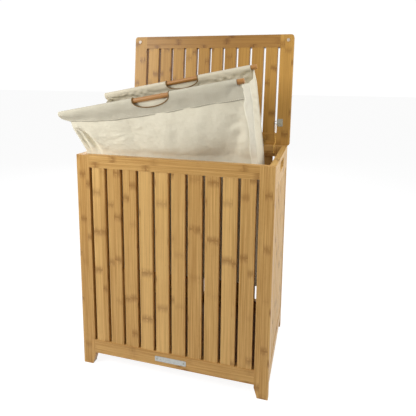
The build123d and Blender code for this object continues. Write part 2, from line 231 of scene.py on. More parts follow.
@dataclass(frozen=True)
class Wire:
    """A number or vector on a node sheet. Its sums, products and quotients are Math nodes."""

    sheet: "Sheet"
    socket: NodeSocket

    def join(self, operation: str, other: object, swapped: bool = False) -> "Wire":
        """Put this and another number through one Math node, the other one first if swapped."""
        return self.sheet.math(operation, *((other, self) if swapped else (self, other)))

    __add__ = partialmethod(join, "ADD")
    __sub__ = partialmethod(join, "SUBTRACT")
    __mul__ = partialmethod(join, "MULTIPLY")
    __truediv__ = partialmethod(join, "DIVIDE")
    __rsub__ = partialmethod(join, "SUBTRACT", swapped=True)
    __rtruediv__ = partialmethod(join, "DIVIDE", swapped=True)

    def __abs__(self) -> "Wire":
        """This without its sign."""
        return self.sheet.math("ABSOLUTE", self)

    def floor(self) -> "Wire":
        """The whole number below this."""
        return self.sheet.math("FLOOR", self)

    def fract(self) -> "Wire":
        """What this has over the whole number below it."""
        return self.sheet.math("FRACT", self)

    def scaled(self, factor: object, offset: object) -> "Wire":
        """This times a factor, plus an offset."""
        return self.sheet.math("MULTIPLY_ADD", self, factor, offset)


@dataclass
class Sheet:
    """A node tree that is being drawn, with short ways to add and join its nodes."""

    tree: NodeTree

    def feed(self, node: Node, inputs: dict[int | str, object]) -> None:
        """Join wires to a node's inputs, or set the inputs' own values.

        Args:
            node: The node.
            inputs: Number or name of an input to a wire or a plain value.
        """
        for key, source in inputs.items():
            if isinstance(source, Wire):
                self.tree.links.new(source.socket, node.inputs[key])
            else:
                node.inputs[key].default_value = source

    def add(self, kind: str, inputs: dict[int | str, object] | None = None, **settings: object) -> Node:
        """Add a node, set its properties and feed its inputs.

        Args:
            kind: The node's type without its ShaderNode prefix.
            inputs: What its inputs get.
            **settings: Its properties.

        Returns:
            The new node.
        """
        node = self.tree.nodes.new(kind if kind.startswith("NodeGroup") else "ShaderNode" + kind)
        for name, value in settings.items():
            setattr(node, name, value)
        self.feed(node, inputs or {})
        return node

    def get(self, kind: str, inputs: dict[int | str, object], output: int | str = 0, **settings: object) -> Wire:
        """Add a node as above and take one of its outputs."""
        return Wire(self, self.add(kind, inputs, **settings).outputs[output])

    def outputs(self, node: Node) -> dict[str, Wire]:
        """All the outputs of a node by name."""
        return {socket.name: Wire(self, socket) for socket in node.outputs}

    def group(self, name: str, inputs: dict[int | str, object]) -> dict[str, Wire]:
        """Place a shared node group and give back its outputs by name."""
        return self.outputs(self.add("Group", inputs, node_tree=bpy.data.node_groups[name]))

    def math(self, operation: str, *values: object, clamp: bool = False) -> Wire:
        """Work out one number from others with a Math node."""
        return self.get("Math", dict(enumerate(values)), operation=operation, use_clamp=clamp)

    def remap(self, value: Wire, low: float, high: float, to_low: float = 0.0, to_high: float = 1.0) -> Wire:
        """Ease a value from one range to another, held at both ends."""
        ends = dict(enumerate((value, low, high, to_low, to_high)))
        return self.get("MapRange", ends, interpolation_type="SMOOTHSTEP")

    def mix(self, factor: Wire, first: object, second: object) -> Wire:
        """Mix two colours by how much there is of the second."""
        return self.get("Mix", {0: factor, 6: first, 7: second}, 2, data_type="RGBA")

    def noise(self, vector: Wire, scale: float, detail: float, roughness: float = 0.5) -> Wire:
        """Cloudy noise from 0 to 1 at one scale."""
        settings = {"Vector": vector, "Scale": scale, "Detail": detail, "Roughness": roughness}
        return self.get("TexNoise", settings)

    def vector(self, x: object, y: object, z: object) -> Wire:
        """Put three numbers together as a vector."""
        return self.get("CombineXYZ", {0: x, 1: y, 2: z})

    def axes(self, vector: Wire) -> list[Wire]:
        """Take a vector apart into its X, Y and Z."""
        return list(self.outputs(self.add("SeparateXYZ", {0: vector})).values())

    def random(self, x: object, y: object, z: object) -> Wire:
        """One even random number for each place."""
        return self.get("TexWhiteNoise", {"Vector": self.vector(x, y, z)}, "Value", noise_dimensions="3D")

    def bump(self, shader: Node, height: Wire, distance: float, strength: float = 1.0) -> None:
        """Let a height tilt the shader's normals."""
        relief = {"Height": height, "Distance": distance, "Strength": strength}
        self.feed(shader, {"Normal": self.get("Bump", relief)})

    def seen_plainly(self) -> Wire:
        """Tell plain sight, by the eye, in a gloss or through clear plastic, from light that bounces.

        Returns:
            One for plain sight and nought for the rest.
        """
        rays = self.outputs(self.add("LightPath"))
        through = self.math("MAXIMUM", rays["Is Glossy Ray"], rays["Is Transmission Ray"])
        return self.math("MAXIMUM", rays["Is Camera Ray"], through)

    def close_group(self, outputs: dict[str, Wire]) -> NodeTree:
        """Give a node group its named outputs.

        Args:
            outputs: Name to what comes out there.

        Returns:
            The finished group.
        """
        for label in outputs:
            self.tree.interface.new_socket(name=label, in_out="OUTPUT", socket_type="NodeSocketFloat")
        self.add("NodeGroupOutput", outputs)
        return self.tree


def new_group(name: str, inputs: dict[str, float | None]) -> tuple[Sheet, dict[str, Wire]]:
    """Start a shader node group with named inputs.

    Args:
        name: The group's name.
        inputs: Name to default number, or to None for a vector.

    Returns:
        The sheet to draw on and the inputs by name.
    """
    tree = bpy.data.node_groups.new(name, "ShaderNodeTree")
    for label, value in inputs.items():
        kind = "NodeSocketVector" if value is None else "NodeSocketFloat"
        socket = tree.interface.new_socket(name=label, in_out="INPUT", socket_type=kind)
        if value is not None:
            socket.default_value = value
    sheet = Sheet(tree)
    return sheet, sheet.outputs(sheet.add("NodeGroupInput"))


def bamboo_group() -> NodeTree:
    """Laminated bamboo: strips side by side, long fibres, flecks and the culm's dark joints.

    The vector's X runs across the board, Y into it and Z along its fibres.

    Returns:
        The node group. Tone is a random number per strip, Fibre the long grain, Joint the dark
        bands where the culm had its joints, Seam the glue lines, Height the relief.
    """
    board_inputs = {"Board Start": 0.0, "Board Pitch": 10.0, "Strip Width": 0.02, "Joint Spacing": 0.12}
    sheet, given = new_group("bamboo_grain", {"Vector": None, **board_inputs, "Seed": 0.0})
    x, y, z = sheet.axes(given["Vector"])
    pitch, width, seed = given["Board Pitch"], given["Strip Width"], given["Seed"]
    steps = (x - given["Board Start"]) / pitch
    board = steps.floor()
    shift = sheet.random(board, seed, 3.0) * width
    strips = (steps.fract() * pitch + shift) / width
    strip = strips.floor()
    layer = (y / LAYER_THICKNESS).floor()
    tone = sheet.random(board.scaled(7.31, strip), layer, seed)
    other = sheet.random(strip, board.scaled(3.17, seed), layer)
    board_tone = sheet.random(board, 5.0, seed)

    slide = tone.scaled(3.0, z)
    fine = sheet.noise(sheet.vector(x * 760, y * 760, slide * 9), 1.0, 3.0, 0.55)
    streak = sheet.noise(sheet.vector(x * 290, y * 290, slide * 4), 1.0, 2.0, 0.6)
    fleck = sheet.noise(sheet.vector(x * 2100, y * 2100, slide * 70), 1.0, 1.0)
    fibre = (streak - 0.5).scaled(1.1, fine)
    long_grain = sheet.math("MULTIPLY_ADD", sheet.remap(fleck, 0.62, 0.78), -0.35, fibre, clamp=True)

    spacing = given["Joint Spacing"] * other.scaled(0.5, 0.8)
    wobble = sheet.noise(sheet.vector(x, y, tone), 130.0, 1.0).scaled(0.005, z)
    along = tone.scaled(0.31, wobble) / spacing
    away = abs(along.fract() - 0.5) * spacing
    strength = sheet.random(along.floor(), strip, board + seed)
    ragged = sheet.noise(sheet.vector(x * 170, z * 60, tone), 1.0, 2.0)
    patch = sheet.noise(sheet.vector(x * 110, tone, along), 1.0, 1.0)
    ring = sheet.remap(away, 0.0044, 0.0010) * 0.8 * sheet.remap(patch, 0.26, 0.46)
    stain = sheet.remap(away, 0.0170, 0.0010) * sheet.remap(ragged, 0.26, 0.56) * 0.72
    joint = sheet.math("MAXIMUM", ring, stain) * sheet.remap(strength, 0.05, 0.75)

    to_edge = (0.5 - abs(strips.fract() - 0.5)) * width
    seam = sheet.remap(to_edge, 0.0005, 0.0)
    height = seam.scaled(-0.3, fibre.scaled(0.25, joint * 0.6))
    tones = tone.scaled(0.5, board_tone * 0.5)
    return sheet.close_group({"Tone": tones, "Fibre": long_grain, "Joint": joint, "Seam": seam, "Height": height})


def weave_group() -> NodeTree:
    """Plain weave of round threads with slubs and soft creases.

    Returns:
        The node group. Thread is the weave's relief, Slub the uneven threads, Crease the soft
        handling marks, Height all the relief together.
    """
    sheet, given = new_group("canvas_weave", {"Vector": None, "Thread": 0.0009, "Crease Size": 0.03})
    x, y, _ = sheet.axes(given["Vector"])
    turn = math.pi / given["Thread"]
    warp, weft = (sheet.math("SINE", way * turn) for way in (x, y))
    over = (warp * weft).scaled(0.5, 0.5)
    across = sheet.noise(sheet.vector(x * 40, y * 1300, 0.0), 1.0, 2.0)
    up = sheet.noise(sheet.vector(x * 1300, y * 40, 4.0), 1.0, 2.0)
    slub = (across + up) * 0.5
    place = sheet.get("VectorMath", {0: given["Vector"], "Scale": 1.0 / given["Crease Size"]}, operation="SCALE")
    crease = sheet.noise(place, 1.0, 3.0, 0.55)
    height = crease.scaled(2.2, over.scaled(0.10, slub * 0.12))
    return sheet.close_group({"Thread": over, "Slub": slub, "Crease": crease, "Height": height})


def brush_group() -> NodeTree:
    """Fine scratches along X with tarnish spots, for plates, hinges and screws.

    Returns:
        The node group. Scratch is the fine lines, Tarnish the duller spots.
    """
    sheet, given = new_group("metal_brush", {"Vector": None, "Length": 0.02, "Fineness": 0.0004})
    x, y, z = sheet.axes(given["Vector"])
    fine = given["Fineness"]
    scratch = sheet.noise(sheet.vector(x / given["Length"], y / fine, z / fine), 1.0, 2.0, 0.6)
    tarnish = sheet.remap(sheet.noise(given["Vector"], 240.0, 3.0), 0.45, 0.75)
    return sheet.close_group({"Scratch": scratch, "Tarnish": tarnish})


# ---------------- finishes
class Grain(Enum):
    """Which way a board lies: the axes across it, into it and along its fibres, with True on the lid."""

    UPRIGHT = (0, 1, 2)
    UPRIGHT_SIDE = (1, 0, 2)
    ACROSS = (2, 1, 0)
    DEEP = (2, 0, 1)
    FLAT = (1, 2, 0)
    LID_ACROSS = (1, 2, 0, True)
    LID_DEEP = (0, 2, 1, True)


def empty_sheet(owner: Material | bpy.types.World) -> Sheet:
    """Clear the nodes of a material or of the world.

    Args:
        owner: The material or world.

    Returns:
        The sheet to draw its nodes on.
    """
    owner.use_nodes = True
    owner.node_tree.nodes.clear()
    return Sheet(owner.node_tree)


def new_material(name: str) -> tuple[Material, Sheet, Node]:
    """Start a material with one Principled shader.

    Args:
        name: The material's name.

    Returns:
        The material, its node sheet and its shader.
    """
    material = bpy.data.materials.new(name)
    sheet = empty_sheet(material)
    shader = sheet.add("BsdfPrincipled")
    sheet.add("OutputMaterial", {"Surface": Wire(sheet, shader.outputs[0])})
    return material, sheet, shader


@dataclass(frozen=True)
class BambooFinish:
    """Lacquered laminated bamboo."""

    name: str
    grain: Grain
    light: Triple = (223, 181, 113)
    dark: Triple = (172, 125, 62)
    joint: Triple = (132, 86, 34)
    board_start: float = 0.0
    board_pitch: float = 10.0
    strip_width: float = 0.0195
    joint_spacing: float = 0.125
    seed: float = 1.0
    roughness: float = 0.42
    relief: float = 0.00022

    def material(self) -> Material:
        """Build the material.

        Returns:
            The finished material.
        """
        material, sheet, shader = new_material(self.name)
        place = sheet.get("TexCoord", {}, "Object")
        if len(self.grain.value) == 4:
            c, s = math.cos(LID_OPEN_ANGLE), math.sin(LID_OPEN_ANGLE)
            shift = tuple(HINGE_LINE - HINGE_LINE @ [[1, 0, 0], [0, c, s], [0, -s, c]])
            place = sheet.get("Mapping", {"Vector": place, "Rotation": (LID_OPEN_ANGLE, 0, 0), "Location": shift})
        axes = sheet.axes(place)
        board = {
            "Vector": sheet.vector(*(axes[i] for i in self.grain.value[:3])),
            "Board Start": self.board_start,
            "Board Pitch": self.board_pitch,
            "Strip Width": self.strip_width,
            "Joint Spacing": self.joint_spacing,
            "Seed": self.seed,
        }
        wood = sheet.group("bamboo_grain", board)
        light, dark, joint = linear(self.light), linear(self.dark), linear(self.joint)
        base = sheet.mix(wood["Tone"].scaled(0.70, wood["Fibre"].scaled(1.25, -0.42)), dark, light)
        base = sheet.mix(sheet.remap(sheet.noise(place, 9.0, 2.0), 0.3, 0.7, 0.0, 0.16), base, dark)
        base = sheet.mix(wood["Joint"] * 0.8, base, joint)
        base = sheet.mix(wood["Seam"] * 0.35, base, joint)
        gloss = wood["Fibre"].scaled(-0.12, self.roughness + 0.06)
        sheet.feed(shader, {"Base Color": base, "Roughness": gloss, "Specular IOR Level": 0.3})
        sheet.bump(shader, wood["Height"], self.relief, 0.6)
        return material


@dataclass(frozen=True)
class DowelFinish:
    """Plain turned wood, oiled, with its fibres along the bar."""

    name: str = "dowel_wood"
    light: Triple = (192, 138, 72)
    dark: Triple = (138, 90, 40)
    slope: float = -0.187

    def material(self) -> Material:
        """Build the material: bamboo without joints, its fibres along the sloping bars.

        Returns:
            The finished material.
        """
        material, sheet, shader = new_material(self.name)
        x, y, z = sheet.axes(sheet.get("TexCoord", {}, "Object"))
        bar = {"Vector": sheet.vector(x.scaled(self.slope, z), y, x)}
        wood = sheet.group("bamboo_grain", {**bar, "Strip Width": 0.05, "Joint Spacing": 4.0, "Seed": 9.0})
        base = sheet.mix(wood["Fibre"], linear(self.dark), linear(self.light))
        sheet.feed(shader, {"Base Color": base, "Roughness": wood["Fibre"].scaled(-0.1, 0.5)})
        sheet.bump(shader, wood["Height"], 0.0002)
        return material


@dataclass(frozen=True)
class CanvasFinish:
    """Undyed cotton canvas, woven, with soft creases whose hollows get painted shade, and perhaps a row of stitches at
    a set height.
    """

    name: str
    light: Triple = (241, 234, 212)
    dark: Triple = (215, 206, 181)
    crease: float = 0.0024
    crease_size: float = 0.035
    stitch_row: float | None = None
    stitch_pitch: float = 0.0034
    stitch_groove_shade: Triple = (176, 164, 134)
    thread: Triple = (238, 230, 208)

    def material(self) -> Material:
        """Build the material.

        Returns:
            The finished material.
        """
        material, sheet, shader = new_material(self.name)
        cloth = sheet.get("UVMap", {}, uv_map="cloth")
        weave = sheet.group("canvas_weave", {"Vector": cloth, "Crease Size": self.crease_size})
        dark = linear(self.dark)
        even = sheet.math("MULTIPLY_ADD", weave["Slub"], 0.9, weave["Thread"] * 0.25, clamp=True)
        base = sheet.mix(even, dark, linear(self.light))
        # Painted shade: the hollows of the crease relief are darkened.
        base = sheet.mix(sheet.remap(weave["Crease"], 0.62, 0.32, 0.0, 0.25), base, dark)
        height = weave["Height"]
        if self.stitch_row is not None:
            along, up, _ = sheet.axes(cloth)
            dash = sheet.math("LESS_THAN", (along / self.stitch_pitch).fract(), 0.72)
            stitches = sheet.remap(abs(up - self.stitch_row), 0.0007, 0.0003)
            thread = stitches * dash
            # Painted shade: a darker band along the stitch row, where its groove lies.
            base = sheet.mix(stitches * 0.18, base, linear(self.stitch_groove_shade))
            base = sheet.mix(thread, base, linear(self.thread))
            height = stitches.scaled(-0.5, height + thread * 0.5)
        sheet.feed(shader, {"Base Color": base, "Roughness": 0.88, "Specular IOR Level": 0.2})
        sheet.feed(shader, {"Sheen Weight": 0.15, "Sheen Roughness": 0.5})
        sheet.bump(shader, height, self.crease, 0.7)
        return material


@dataclass(frozen=True)
class MetalFinish:
    """Brushed or plated metal with faint tarnish."""

    name: str
    colour: Triple
    dull: Triple
    roughness: float
    metallic: float = 1.0
    length: float = 0.02
    fineness: float = 0.0004

    def material(self) -> Material:
        """Build the material from the brush group.

        Returns:
            The finished material.
        """
        material, sheet, shader = new_material(self.name)
        place = sheet.get("TexCoord", {}, "Object")
        brush = sheet.group("metal_brush", {"Vector": place, "Length": self.length, "Fineness": self.fineness})
        base = sheet.mix(brush["Tarnish"] * 0.7, linear(self.colour), linear(self.dull))
        rough = brush["Tarnish"].scaled(0.15, brush["Scratch"].scaled(0.22, self.roughness - 0.08))
        sheet.feed(shader, {"Base Color": base, "Roughness": rough, "Metallic": self.metallic})
        sheet.bump(shader, brush["Scratch"], 0.00006)
        return material


@dataclass(frozen=True)
class BumperFinish:
    """Soft clear plastic of the lid's round bumpers."""

    name: str = "clear_bumper"
    colour: Triple = (200, 172, 138)
    cloudy: Triple = (236, 231, 222)

    def material(self) -> Material:
        """Build the material: slightly cloudy, with a satin skin.

        Returns:
            The finished material.
        """
        material, sheet, shader = new_material(self.name)
        cloud = sheet.noise(sheet.get("TexCoord", {}, "Object"), 420.0, 2.0)
        base = sheet.mix(cloud, linear(self.colour), linear(self.cloudy))
        sheet.feed(shader, {"Base Color": base, "Roughness": cloud.scaled(0.2, 0.2)})
        sheet.feed(shader, {"Transmission Weight": 0.35, "IOR": 1.45})
        return material


# ---------------- studio
@dataclass(frozen=True)
class Lamp:
    """A soft square lamp: where it hangs, what it looks at, its side in metres and its power in watts."""

    name: str
    place: Triple
    aim: Triple
    size: float
    power: float

    def hang(self) -> None:
        """Hang the lamp and aim it."""
        data = bpy.data.lights.new(self.name, "AREA")
        data.size, data.energy = self.size, self.power
        back = unit(np.array(self.place) - self.aim)
        side = unit(np.cross([0, 0, 1], back))
        stand(new_object(self.name, data), (side, np.cross(back, side), back), self.place)


@dataclass
class Studio:
    """Pale floor, plain soft light and the camera at the front, high and to the right."""

    eye: Triple = (0.3406, -1.0281, 0.7658)
    yaw: float = math.radians(14.72)
    pitch: float = math.radians(8.41)
    roll: float = math.radians(0.69)
    lens: float = 33.98
    shift: tuple[float, float] = (-0.0172, -0.1586)
    floor_reach: float = 30.0
    floor_gap: float = 0.0002
    fill: float = 0.25
    background: float = 1.02
    lamps: tuple[Lamp, ...] = (
        Lamp("key_lamp", (-0.94, -0.86, 1.1), (-0.05, -0.1, 0.5), 0.6, 15.2),
        Lamp("side_lamp", (1.65, 0.95, 1.0), (0.25, 0, 0.45), 1.2, 7.2),
        Lamp("lid_lamp", (0.84, -0.26, 1.12), (0.24, 0.17, 0.64), 0.8, 5.5),
        Lamp("rear_lamp", (-0.9, 1.9, 1.5), (0, 0.1, 0.4), 1.2, 13),
    )

    def camera(self) -> None:
        """Set the camera from its turn to the left, its tilt down and its roll."""
        cy, sy, cp, sp = math.cos(self.yaw), math.sin(self.yaw), math.cos(self.pitch), math.sin(self.pitch)
        forward = np.array([-sy * cp, cy * cp, -sp])
        level = np.array([cy, sy, 0.0])
        right = math.cos(self.roll) * level + math.sin(self.roll) * np.cross(level, forward)
        data = bpy.data.cameras.new("front_camera")
        data.lens, data.sensor_width, data.clip_start = self.lens, 36, 0.01
        data.shift_x, data.shift_y = self.shift
        bpy.context.scene.camera = new_object("front_camera", data)
        stand(bpy.context.scene.camera, (right, np.cross(right, forward), -forward), self.eye)

    def floor(self) -> None:
        """Lay a wide pale floor that the camera sees as nearly white and that keeps the shadow."""
        corners = self.floor_reach * np.array([[-1, -1, 0], [1, -1, 0], [1, 1, 0], [-1, 1, 0]])
        material = bpy.data.materials.new("pale_floor")
        sheet = empty_sheet(material)
        cloth = sheet.get("BsdfDiffuse", {"Color": (0.86, 0.86, 0.86, 1)})
        glow = sheet.get("Emission", {"Strength": 1.25})
        surface = sheet.get("MixShader", {0: sheet.seen_plainly() * 0.72, 1: cloth, 2: glow})
        sheet.add("OutputMaterial", {"Surface": surface})
        floor = new_piece("floor", corners - [0, 0, self.floor_gap], np.array([[0, 1, 2, 3]]), material)

    def world(self) -> None:
        """Light evenly from all round, and show the camera a white background."""
        world = bpy.data.worlds.new("studio")
        bpy.context.scene.world = world
        sheet = empty_sheet(world)
        strength = sheet.seen_plainly().scaled(self.background - self.fill, self.fill)
        glow = sheet.get("Background", {"Color": (1, 1, 1, 1), "Strength": strength})
        sheet.add("OutputWorld", {"Surface": glow})

    def build(self) -> None:
        """Set up the camera, floor, world and lamps."""
        bpy.context.scene.view_settings.view_transform = "Standard"
        self.camera()
        self.floor()
        self.world()
        for lamp in self.lamps:
            lamp.hang()
        LOG.info("studio set with %d lamps", len(self.lamps))


# ---------------- lid stay
@dataclass
class StayChain:
    """Thin brass chain from the lid's ring, over the rear rail, to the screw eye inside."""

    route: tuple[Triple, ...] = (
        (0.2169, 0.1713, 0.6459),
        (0.2156, 0.1702, 0.6362),
        (0.2146, 0.1691, 0.6264),
        (0.2143, 0.1679, 0.6166),
        (0.2152, 0.1665, 0.6068),
        (0.2168, 0.1634, 0.5976),
        (0.2174, 0.1570, 0.5910),
        (0.2164, 0.1484, 0.5886),
        (0.2152, 0.1404, 0.5864),
        (0.2156, 0.1370, 0.5780),
        (0.2160, 0.1384, 0.5690),
    )
    link_pitch: float = 0.0034
    link_width: float = 0.0031
    wire: float = 0.0009
    rings: int = 12
    ring_points: int = 5

    def line(self) -> Array:
        """Smooth line of the chain: a NURBS spline with the route as its control points.

        Returns:
            Array (n, 3) of points read from the spline.
        """
        curve = bpy.data.curves.new("stay_line", "CURVE")
        curve.dimensions = "3D"
        curve.resolution_u = 16
        spline = curve.splines.new("NURBS")
        spline.points.add(len(self.route) - 1)
        spline.points.foreach_set("co", np.column_stack([self.route, np.ones(len(self.route))]).ravel())
        spline.order_u = 3
        spline.use_endpoint_u = True
        holder = new_object("stay_line", curve)
        bpy.context.view_layer.update()
        mesh = bpy.data.meshes.new_from_object(holder)
        points = mesh_points(mesh)
        bpy.data.objects.remove(holder)
        bpy.data.meshes.remove(mesh)
        return points

    def link(self) -> list[Array]:
        """One link's points about its own middle.

        The centre line is half the length * cos a along the chain and half the width * sin a to the
        side, and the wire is a circle carried round that.

        Returns:
            How far each point lies along the chain, to the side and through the link.
        """
        radius = self.wire / 2
        half_length = (self.link_pitch + 1.3 * self.wire) / 2
        half_width = (self.link_width - self.wire) / 2
        a = np.linspace(0, 2 * math.pi, self.rings, endpoint=False)[:, None]
        b = np.linspace(0, 2 * math.pi, self.ring_points, endpoint=False)[None]
        out = radius * np.cos(b)
        return [(half_length + out) * np.cos(a), (half_width + out) * np.sin(a), radius * np.sin(b) + 0 * a]

    def build(self, finish: Material) -> None:
        """String small oval links along the line, each turned a quarter from the last.

        Args:
            finish: The links' material.
        """
        line = self.line()
        far = np.concatenate([[0], np.cumsum(np.linalg.norm(np.diff(line, axis=0), axis=1))])
        count = int(round(far[-1] / self.link_pitch))
        middle = (np.arange(count) + 0.5) * far[-1] / count

        def at(distance: Array) -> Array:
            """Places at distances along the line."""
            return np.column_stack([np.interp(distance, far, line[:, k]) for k in range(3)])

        along = unit(at(middle + 0.001) - at(middle - 0.001))
        first = unit(np.cross(along, [0.3, 0.2, 0.1]))
        second = np.cross(along, first)
        odd = (np.arange(count) % 2).astype(bool)[:, None]
        ways = (along, np.where(odd, first, second), np.where(odd, second, first))
        moves = (reach.reshape(1, -1, 1) * way[:, None] for reach, way in zip(self.link(), ways))
        points = sum(moves, at(middle)[:, None])
        faces = grid_faces(self.rings, self.ring_points, True, True)
        every = faces[None] + (np.arange(count) * self.rings * self.ring_points)[:, None, None]
        chain = new_piece("stay_chain_links", points, every.reshape(-1, 4), finish, outwards=True)
        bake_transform(chain)
        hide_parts("stay_chain")
        LOG.info("chain: %d links over %.1f mm", count, 1000 * far[-1])


# ---------------- liner
@dataclass(frozen=True)
class Bar:
    """A round bar of the liner: its ends from left to right."""

    left: Array
    right: Array

    @property
    def middle(self) -> Array:
        """The middle of the bar."""
        return (self.left + self.right) / 2

    @property
    def along(self) -> Array:
        """Direction from the left end to the right end."""
        return unit(self.right - self.left)

    def at(self, distance: Array) -> Array:
        """Points on the bar's line at distances to the right of its middle."""
        return self.middle + np.asarray(distance, float)[..., None] * self.along


def bar_of(node: str) -> Bar:
    """Read a bar's line from its node: the long direction of its points.

    Args:
        node: Name of the bar's node.

    Returns:
        The bar.
    """
    points = mesh_points(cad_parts[node].data)
    middle = (points.min(0) + points.max(0)) / 2
    along = np.linalg.svd(points - points.mean(0), full_matrices=False)[2][0]
    along = along * np.sign(along[0])
    reach = (points - middle) @ along
    return Bar(middle + reach.min() * along, middle + reach.max() * along)


@dataclass
class Hem:
    """Pocket of canvas round one bar, with a half-oval handle cut through it."""

    name: str
    bar: Bar
    down: Array
    outward: Array
    left_reach: float = 0.262
    right_reach: float = 0.208
    seam_stations: tuple[float, ...] = (-0.262, -0.250, -0.236, -0.213, -0.160, -0.110, -0.070)
    seam_depths: tuple[float, ...] = (0.012, 0.018, 0.0235, 0.0262, 0.0330, 0.0395, 0.041)
    flare: float = 0.010
    bar_radius: float = 0.006
    slack: float = 0.0013
    flat: float = 0.0009
    cloth: float = 0.0005
    rumple: float = 0.0002
    handle_middle: float = -0.003
    handle_half: float = 0.0475
    handle_depth: float = 0.021
    handle_points: int = 60
    turn_points: int = 10
    columns: int = 301
    side_rows: int = 16
    cap_rows: int = 9
    binding_radius: float = 0.0014
    binding_sides: int = 8

    def handle_edge(self, distance: Array) -> Array:
        """How far below the bar the handle's cut lies: depth * root of (1 - (distance / half)^2)."""
        inside = 1 - ((distance - self.handle_middle) / self.handle_half) ** 2
        return self.handle_depth * np.sqrt(np.clip(inside, 0, 1))

    def seam(self, distance: Array) -> Array:
        """How far below the bar the seam runs: even, wavering a little, and rising at the left end."""
        run = np.interp(distance, self.seam_stations, self.seam_depths)
        return run + 0.0008 * np.sin(31 * distance + 0.7) + 0.0005 * np.sin(83 * distance)

    def share(self, distance: Array) -> Array:
        """Turn distances to the right of the bar's middle into shares of the hem's length."""
        return (distance + self.left_reach) / (self.left_reach + self.right_reach)

    def outline(self, share: Array, drop: Array) -> Array:
        """Half thickness of the pocket: wide at the bar, eased down to flat at the seam.

        A low bell of uneven height is added between them, and the right end closes sooner.

        Args:
            share: Share of the hem's length, from left to right.
            drop: Depth below the bar.

        Returns:
            How far each layer stands off the middle.
        """
        wide = self.bar_radius + self.slack
        distance = -self.left_reach + share * (self.left_reach + self.right_reach)
        fall = np.clip(drop / self.seam(distance), 0, 1)
        tight = 1.2 + 2.5 * smooth_step((distance - self.right_reach + 0.035) / 0.030)
        belly = 0.0013 * np.sin(math.pi * fall) * (1 + 0.7 * np.sin(23 * share + 1.3) * np.sin(9 * share))
        return self.flat + (wide - self.flat) * (1 - smooth_step(fall * tight)) + belly

    def place(self, distance: Array, outward: Array, drop: Array) -> Array:
        """Turn distances along, out of and below the bar into points.

        The right end flares downwards: flare * two eased steps, one towards the end, one down.

        Args:
            distance: Distance to the right of the bar's middle.
            outward: Distance out.
            drop: Depth below the bar.

        Returns:
            Array (..., 3).
        """
        near_end = smooth_step((distance - self.right_reach + 0.045) / 0.045)
        distance = distance + self.flare * near_end * smooth_step((drop - 0.007) / 0.009)
        return self.bar.at(distance) + outward[..., None] * self.outward + drop[..., None] * self.down

    def rumples(self, share: Array, climb: Array) -> Array:
        """Uneven waves of both layers: two products of two sines, highest halfway up, and a low sine at the seam.

        Args:
            share: Share of the hem's length, from left to right.
            climb: Share of the way from the seam to the bar.

        Returns:
            How far the cloth stands out.
        """
        wave = np.sin(61 * share + 6 * climb + 2.5 * np.sin(23 * share)) * np.sin(17 * share - 7 * climb + 0.6)
        wave = wave + 0.35 * np.sin(118 * share - 11 * climb) * np.sin(9 * share + 4 * climb)
        sag = 0.0006 * np.sin(41 * share) * (1 - climb)
        return sag + self.rumple * wave * 4 * climb * (1 - climb)

    def follow(self, piece: Piece) -> Piece:
        """Let a piece ride on the bars: hang it from their empty and give it a mesh of its own.

        Args:
            piece: The pocket or its binding.

        Returns:
            The same piece.
        """
        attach(piece, "liner_rods")
        middle = self.bar.at(np.array(self.handle_middle))
        tuple(self.bar.along)
        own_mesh(piece)
        return piece

    def build(self, finish: Material) -> Piece:
        """Build the pocket as one grid of columns along the bar and rows round it.

        Rows climb the front layer from the seam to the bar, go over it in a half circle and come
        down the back layer. In the handle's columns both layers stop at its cut and the faces over
        the bar are left out.

        Args:
            finish: Canvas.

        Returns:
            The hem.
        """
        distance = np.linspace(-self.left_reach, self.right_reach, self.columns)[None]
        share = self.share(distance)
        cut = np.abs(distance[0] - self.handle_middle) < self.handle_half
        climb = np.linspace(0, 1, self.side_rows)[:, None]
        seam = self.seam(distance)
        drop = seam + (np.where(cut, self.handle_edge(distance), 0.0) - seam) * climb
        level = distance + 0 * climb
        half, waves = self.outline(share, drop), self.rumples(share, climb)
        front, back = (self.place(level, side * half + waves, drop) for side in (1, -1))
        turn = np.linspace(0, math.pi, self.cap_rows + 2)[1:-1, None]
        wide = self.outline(share, 0 * share)
        cap = self.place(distance + 0 * turn, wide * np.cos(turn), -wide * np.sin(turn))
        points = np.concatenate([front, cap, back[::-1]], 0)
        rows, across = len(points), self.columns - 1
        row, column = np.divmod(np.arange((rows - 1) * across), across)
        over = (row >= self.side_rows - 1) & (row < self.side_rows + self.cap_rows)
        open_column = cut[column] | cut[np.minimum(column + 1, across)]
        steps = np.linalg.norm(np.diff(points, axis=0), axis=-1)
        length = np.concatenate([np.zeros((1, self.columns)), np.cumsum(steps, 0)])
        uv = np.stack([np.broadcast_to(distance, length.shape), length], -1)
        faces = grid_faces(rows, self.columns)[~(over & open_column)]
        return self.follow(new_piece(self.name, points, faces, finish, uv, self.cloth, True))

    def binding(self, finish: Material) -> Piece:
        """Round binding sewn on the handle's cut: along the front layer's edge and back along the rear's.

        Args:
            finish: The binding's material.

        Returns:
            The binding.
        """
        turn = np.linspace(0, math.pi, self.handle_points)
        distance = self.handle_middle - self.handle_half * np.cos(turn)
        drop = self.handle_depth * np.sin(turn)
        share = self.share(distance)
        wide = self.outline(share, drop)
        front = self.place(distance, wide, drop)
        back = self.place(distance, -wide, drop)[::-1]
        over = np.linspace(0, math.pi, self.turn_points)[1:-1]
        top = self.outline(share[-1], np.zeros(1))[0]
        right, left = (
            self.place(np.full_like(over, distance[end]), side * top * np.cos(over), -top * np.sin(over))
            for end, side in ((-1, 1), (0, -1))
        )
        path = np.concatenate([front, right, back, left, front[:1]], 0)
        sides = self.binding_sides
        rings = tube_points(path, self.binding_radius, sides, self.outward + 0.37 * self.bar.along)[:-1]
        faces = grid_faces(len(rings), sides, True, True)
        lengths = (np.linspace(0, 0.3, len(rings)), np.linspace(0, 0.009, sides))
        uv = np.stack(np.meshgrid(*lengths, indexing="ij"), -1)
        return self.follow(new_piece(self.name + "_binding", rings, faces, finish, uv, outwards=True))


